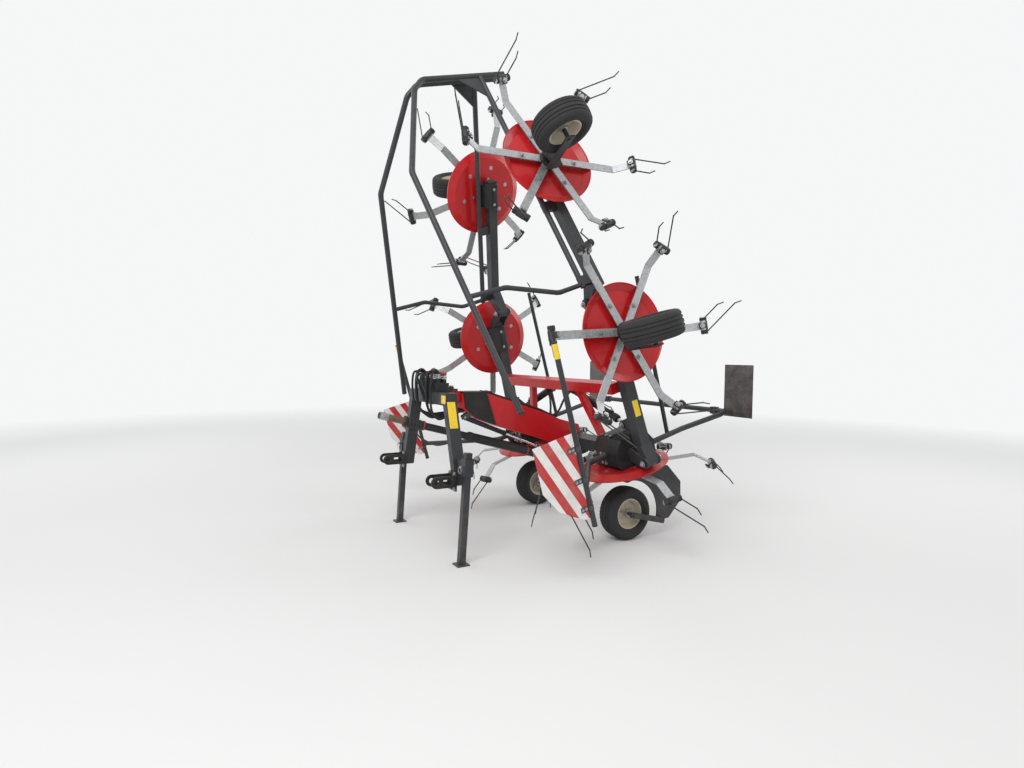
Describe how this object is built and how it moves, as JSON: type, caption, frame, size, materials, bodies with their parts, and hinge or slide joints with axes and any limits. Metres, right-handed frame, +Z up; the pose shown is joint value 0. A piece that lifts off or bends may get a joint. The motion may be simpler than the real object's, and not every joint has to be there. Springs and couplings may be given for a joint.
{
  "type": "hay tedder",
  "caption": "Mounted rotary hay tedder folded upright for transport, with tined rotors on hinged booms, rotor wheels, guard tubes, a steering headstock and stand legs",
  "frame": {"origin": "centre of the footprint on the floor", "axes": "+X to the left of the machine seen in travel, -Y the direction of travel, +Z up"},
  "size_m": [3.1124, 2.6969, 3.6994],
  "materials": {
    "bare_steel": "bare steel, greased",
    "black_paint": "black paint",
    "board": "white board with diagonal red stripes",
    "chrome_rod": "polished rod",
    "galvanised": "zinc plated steel with dull spangle",
    "graphite_paint": "dark grey paint, scuffed",
    "guard_plastic": "black plastic guard tube",
    "hose_rubber": "black hose",
    "red_paint": "glossy red paint, dusty",
    "rim_paint": "cream paint with rust specks",
    "tyre_rubber": "worn tyre with dry dirt"
  },
  "bodies": {
    "frame": {"main_beam": "red_paint", "a_frame": "red_paint", "inner_booms": "graphite_paint", "inner_gearboxes": "black_paint", "inner_wheel_legs": "graphite_paint", "rear_guard": "graphite_paint", "front_guards": "graphite_paint", "warning_boards": "board", "rear_boards": "board", "beam_cover": "black_paint", "shaft_guard": "guard_plastic"},
    "drive_shaft": {"shaft_core": "bare_steel"},
    "headstock": {"headstock": "graphite_paint", "link_brackets": "black_paint", "hose_blocks": "hose_rubber"},
    "stand_left": {"stand_left": "graphite_paint"},
    "stand_right": {"stand_right": "graphite_paint"},
    "middle_left": {"middle_boom_left": "graphite_paint", "middle_gearbox_left": "black_paint", "middle_leg_left": "graphite_paint"},
    "outer_left": {"outer_boom_left": "graphite_paint", "outer_gearbox_left": "black_paint", "outer_leg_left": "graphite_paint", "outer_guard_left": "graphite_paint"},
    "barrel_left": {"barrel_left": "black_paint"},
    "rod_left": {"rod_left": "chrome_rod"},
    "rotor_inner_left": {"disc_inner_left": "red_paint", "tines_inner_left": "galvanised"},
    "wheel_inner_left": {"tyre_inner_left": "tyre_rubber", "rim_inner_left": "rim_paint"},
    "rotor_middle_left": {"disc_middle_left": "red_paint", "tines_middle_left": "galvanised"},
    "wheel_middle_left": {"tyre_middle_left": "tyre_rubber", "rim_middle_left": "rim_paint"},
    "rotor_outer_left": {"disc_outer_left": "red_paint", "tines_outer_left": "galvanised"},
    "wheel_outer_left": {"tyre_outer_left": "tyre_rubber", "rim_outer_left": "rim_paint"},
    "middle_right": {"middle_boom_right": "graphite_paint", "middle_gearbox_right": "black_paint", "middle_leg_right": "graphite_paint"},
    "outer_right": {"outer_boom_right": "graphite_paint", "outer_gearbox_right": "black_paint", "outer_leg_right": "graphite_paint", "outer_guard_right": "graphite_paint"},
    "barrel_right": {"barrel_right": "black_paint"},
    "rod_right": {"rod_right": "chrome_rod"},
    "rotor_inner_right": {"disc_inner_right": "red_paint", "tines_inner_right": "galvanised"},
    "wheel_inner_right": {"tyre_inner_right": "tyre_rubber", "rim_inner_right": "rim_paint"},
    "rotor_middle_right": {"disc_middle_right": "red_paint", "tines_middle_right": "galvanised"},
    "wheel_middle_right": {"tyre_middle_right": "tyre_rubber", "rim_middle_right": "rim_paint"},
    "rotor_outer_right": {"disc_outer_right": "red_paint", "tines_outer_right": "galvanised"},
    "wheel_outer_right": {"tyre_outer_right": "tyre_rubber", "rim_outer_right": "rim_paint"}
  },
  "joints": [
    {"name": "drive_shaft_spin", "type": "hinge", "parent": "frame", "child": "drive_shaft", "pos_m": [0, 0.0314, 0.60206], "axis": [0, -0.9651, 0.262], "continuous": true},
    {"name": "headstock_steer", "type": "hinge", "parent": "frame", "child": "headstock", "pos_m": [0, -0.77, 1.1], "axis": [0, 0, 1], "range_deg": [-15, 15]},
    {"name": "stand_lift_left", "type": "slide", "parent": "headstock", "child": "stand_left", "axis": [0, 0.061, 0.9981], "range_m": [0, 0.3]},
    {"name": "stand_lift_right", "type": "slide", "parent": "headstock", "child": "stand_right", "axis": [0, 0.061, 0.9981], "range_m": [0, 0.3]},
    {"name": "fold_left", "type": "hinge", "parent": "frame", "child": "middle_left", "pos_m": [0.985, 0.37019, 0.66651], "axis": [0, 0.9613, 0.2756], "range_deg": [0, 95.5]},
    {"name": "tip_left", "type": "hinge", "parent": "middle_left", "child": "outer_left", "pos_m": [0.67444, 0.04199, 1.8111], "axis": [0, 0.9613, 0.2756], "range_deg": [0, 18]},
    {"name": "barrel_swing_left", "type": "hinge", "parent": "frame", "child": "barrel_left", "pos_m": [0.105, 0.26121, 1.15541], "axis": [0, -0.9613, -0.2756], "range_deg": [0, 7.99]},
    {"name": "rod_stroke_left", "type": "slide", "parent": "barrel_left", "child": "rod_left", "axis": [0.9293, 0.1018, -0.3549], "range_m": [0, 0.50037]},
    {"name": "rotor_inner_left_spin", "type": "hinge", "parent": "frame", "child": "rotor_inner_left", "pos_m": [0.6475, 0.395, 0.58], "axis": [0, -0.2756, 0.9613], "continuous": true},
    {"name": "wheel_inner_left_spin", "type": "hinge", "parent": "frame", "child": "wheel_inner_left", "pos_m": [0.6475, 0.42451, 0.205], "axis": [1, 0, 0], "continuous": true},
    {"name": "rotor_middle_left_spin", "type": "hinge", "parent": "middle_left", "child": "rotor_middle_left", "pos_m": [0.98281, 0.10511, 1.59098], "axis": [-0.9954, 0.0264, -0.0921], "continuous": true},
    {"name": "wheel_middle_left_spin", "type": "hinge", "parent": "middle_left", "child": "wheel_middle_left", "pos_m": [1.34972, 0.02328, 1.60426], "axis": [-0.0958, -0.2744, 0.9568], "continuous": true},
    {"name": "rotor_outer_left_spin", "type": "hinge", "parent": "outer_left", "child": "rotor_outer_left", "pos_m": [0.52211, -0.25159, 2.83494], "axis": [-0.9171, 0.1099, -0.3833], "continuous": true},
    {"name": "wheel_outer_left_spin", "type": "hinge", "parent": "outer_left", "child": "wheel_outer_left", "pos_m": [0.86014, -0.3642, 2.95555], "axis": [-0.3987, -0.2528, 0.8815], "continuous": true},
    {"name": "fold_right", "type": "hinge", "parent": "frame", "child": "middle_right", "pos_m": [-0.985, 0.37019, 0.66651], "axis": [0, -0.9613, -0.2756], "range_deg": [0, 95.5]},
    {"name": "tip_right", "type": "hinge", "parent": "middle_right", "child": "outer_right", "pos_m": [-0.67444, 0.04199, 1.8111], "axis": [0, -0.9613, -0.2756], "range_deg": [0, 18]},
    {"name": "barrel_swing_right", "type": "hinge", "parent": "frame", "child": "barrel_right", "pos_m": [-0.105, 0.26121, 1.15541], "axis": [0, 0.9613, 0.2756], "range_deg": [0, 7.99]},
    {"name": "rod_stroke_right", "type": "slide", "parent": "barrel_right", "child": "rod_right", "axis": [-0.9293, 0.1018, -0.3549], "range_m": [0, 0.50037]},
    {"name": "rotor_inner_right_spin", "type": "hinge", "parent": "frame", "child": "rotor_inner_right", "pos_m": [-0.6475, 0.395, 0.58], "axis": [0, -0.2756, 0.9613], "continuous": true},
    {"name": "wheel_inner_right_spin", "type": "hinge", "parent": "frame", "child": "wheel_inner_right", "pos_m": [-0.6475, 0.42451, 0.205], "axis": [1, 0, 0], "continuous": true},
    {"name": "rotor_middle_right_spin", "type": "hinge", "parent": "middle_right", "child": "rotor_middle_right", "pos_m": [-0.98281, 0.10511, 1.59098], "axis": [0.9954, 0.0264, -0.0921], "continuous": true},
    {"name": "wheel_middle_right_spin", "type": "hinge", "parent": "middle_right", "child": "wheel_middle_right", "pos_m": [-1.34972, 0.02328, 1.60426], "axis": [-0.0958, 0.2744, -0.9568], "continuous": true},
    {"name": "rotor_outer_right_spin", "type": "hinge", "parent": "outer_right", "child": "rotor_outer_right", "pos_m": [-0.52211, -0.25159, 2.83494], "axis": [0.9171, 0.1099, -0.3833], "continuous": true},
    {"name": "wheel_outer_right_spin", "type": "hinge", "parent": "outer_right", "child": "wheel_outer_right", "pos_m": [-0.86014, -0.3642, 2.95555], "axis": [-0.3987, 0.2528, -0.8815], "continuous": true}
  ],
  "couplings": [
    {"joint": "drive_shaft_spin", "follows": "rotor_inner_left_spin", "ratio": -3},
    {"joint": "barrel_swing_left", "follows": "fold_left", "ratio": 0.083593},
    {"joint": "rod_stroke_left", "follows": "fold_left", "m_per_rad": 0.30008},
    {"joint": "rotor_middle_left_spin", "follows": "rotor_inner_left_spin", "ratio": -1},
    {"joint": "rotor_outer_left_spin", "follows": "rotor_inner_left_spin", "ratio": 1},
    {"joint": "barrel_swing_right", "follows": "fold_right", "ratio": 0.083593},
    {"joint": "rod_stroke_right", "follows": "fold_right", "m_per_rad": 0.30008},
    {"joint": "rotor_inner_right_spin", "follows": "rotor_inner_left_spin", "ratio": -1},
    {"joint": "rotor_middle_right_spin", "follows": "rotor_inner_left_spin", "ratio": 1},
    {"joint": "rotor_outer_right_spin", "follows": "rotor_inner_left_spin", "ratio": -1}
  ]
}
